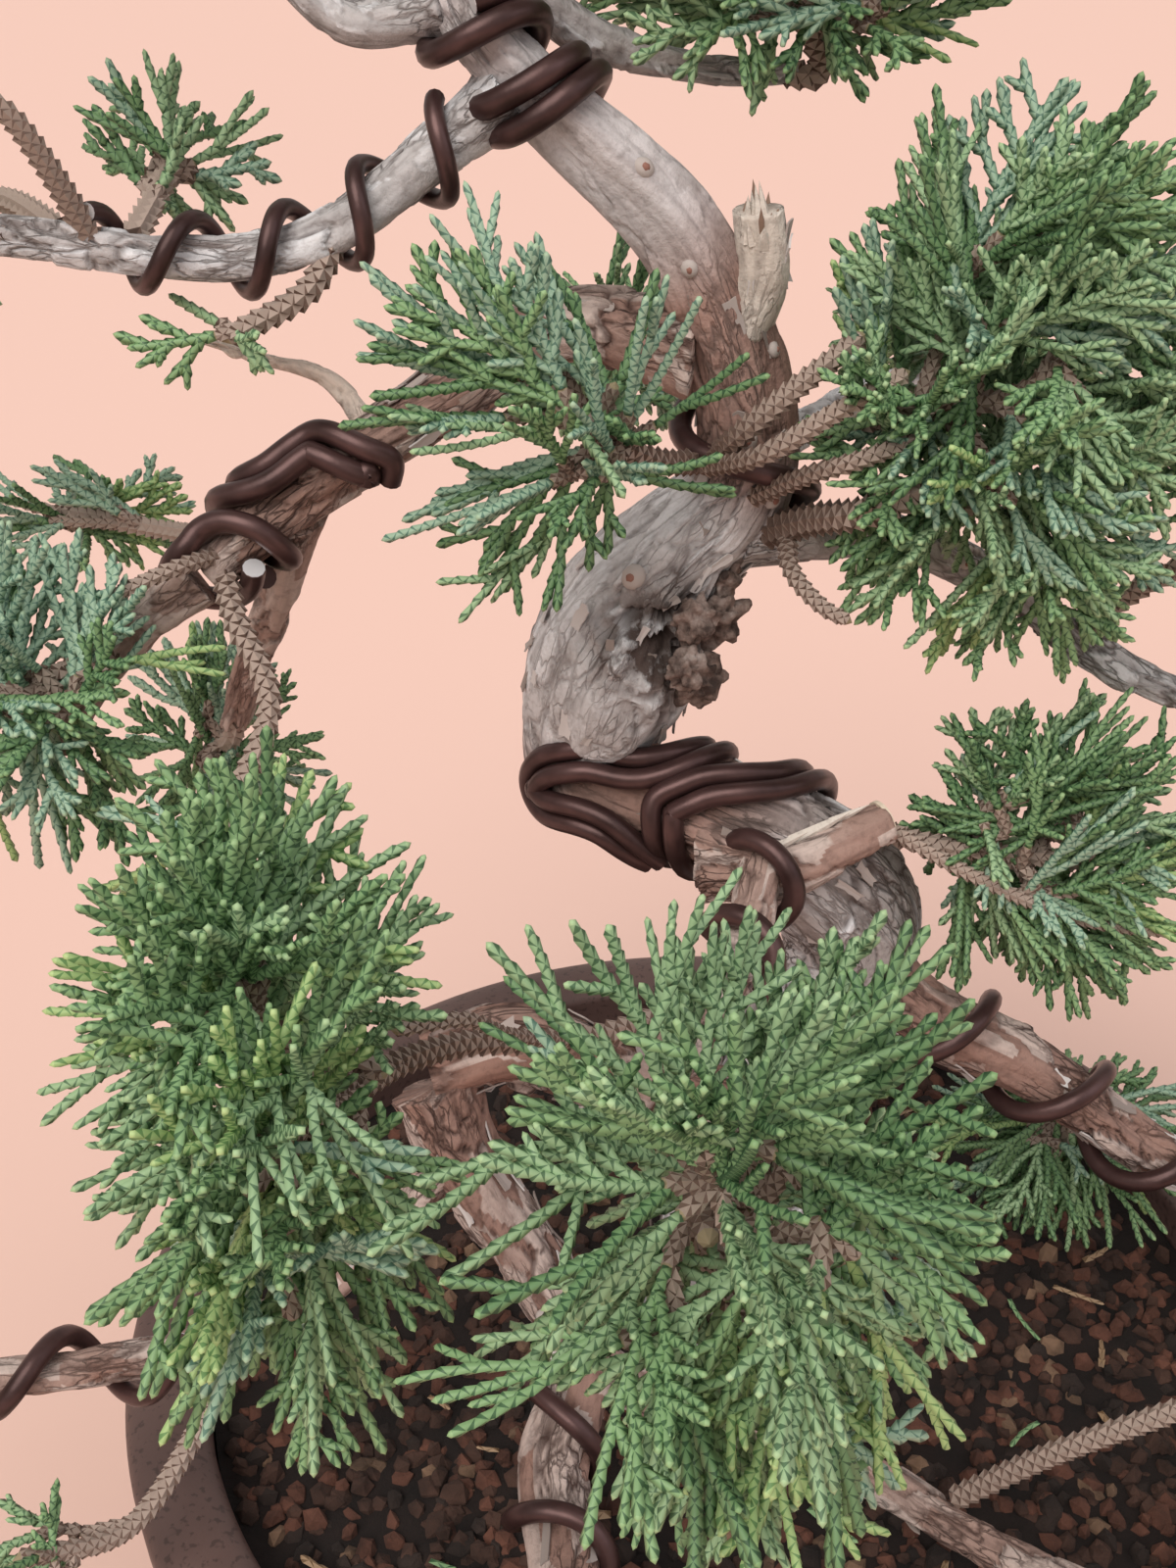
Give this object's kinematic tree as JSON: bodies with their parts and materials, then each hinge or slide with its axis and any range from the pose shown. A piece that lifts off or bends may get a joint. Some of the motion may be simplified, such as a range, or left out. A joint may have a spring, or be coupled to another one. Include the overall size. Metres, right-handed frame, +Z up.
{
  "type": "juniper bonsai in a pot",
  "caption": "Small wired juniper bonsai with a twisted trunk, tapering boughs and open pads of scale foliage, growing from soil in a round clay pot.",
  "frame": {"origin": "middle of the pot's flat underside", "axes": "+Z up; -Y towards the side the tree is seen from; +X to that viewer's right"},
  "size_m": [0.2615, 0.2307, 0.2991],
  "materials": {
    "pot": "satin",
    "soil": "matt, loose baked-clay grains",
    "bark": "matt bark",
    "deadwood": "matt bleached wood",
    "wire": "satin brown anodised",
    "foliage": "matt"
  },
  "bodies": {
    "root": {"pot": "pot", "soil": "soil", "trunk": "bark", "bough_left": "bark", "bough_left_outer": "bark", "bough_left_rear": "bark", "bough_upper_left": "bark", "bough_crown_left": "bark", "bough_crown_right": "bark", "bough_crown_back": "bark", "bough_back": "bark", "bough_back_right": "bark", "bough_right": "bark", "bough_right_back": "bark", "bough_right_low": "bark", "bough_front": "bark", "bough_low_arch": "bark", "bough_low_front": "bark", "bough_low_right": "bark", "bough_low_left": "bark", "stub_deadwood": "deadwood", "stub_cut": "bark", "twig_bleached": "deadwood", "wire_trunk_bend": "wire", "wire_trunk_upper": "wire", "wire_trunk_elbow": "wire", "wire_left": "wire", "wire_upper_left": "wire", "wire_right_low": "wire", "wire_front": "wire", "wire_low_front": "wire", "wire_low_left": "wire", "foliage_centre": "foliage", "foliage_right": "foliage", "foliage_right_outer": "foliage", "foliage_right_lower": "foliage", "foliage_right_under": "foliage", "foliage_right_low": "foliage", "foliage_right_back": "foliage", "foliage_left": "foliage", "foliage_left_hanging": "foliage", "foliage_left_far": "foliage", "foliage_left_rear": "foliage", "foliage_upper_left": "foliage", "foliage_upper_left_back": "foliage", "foliage_upper_left_low": "foliage", "foliage_upper_left_near": "foliage", "foliage_crown_left": "foliage", "foliage_crown_right": "foliage", "foliage_crown_back": "foliage", "foliage_apex": "foliage", "foliage_back": "foliage", "foliage_back_right": "foliage", "foliage_front": "foliage", "foliage_front_left": "foliage", "foliage_low_front": "foliage", "foliage_low_right": "foliage", "foliage_low_right_twig": "foliage", "foliage_low_left": "foliage", "foliage_low_left_twig": "foliage"}
  },
  "joints": []
}
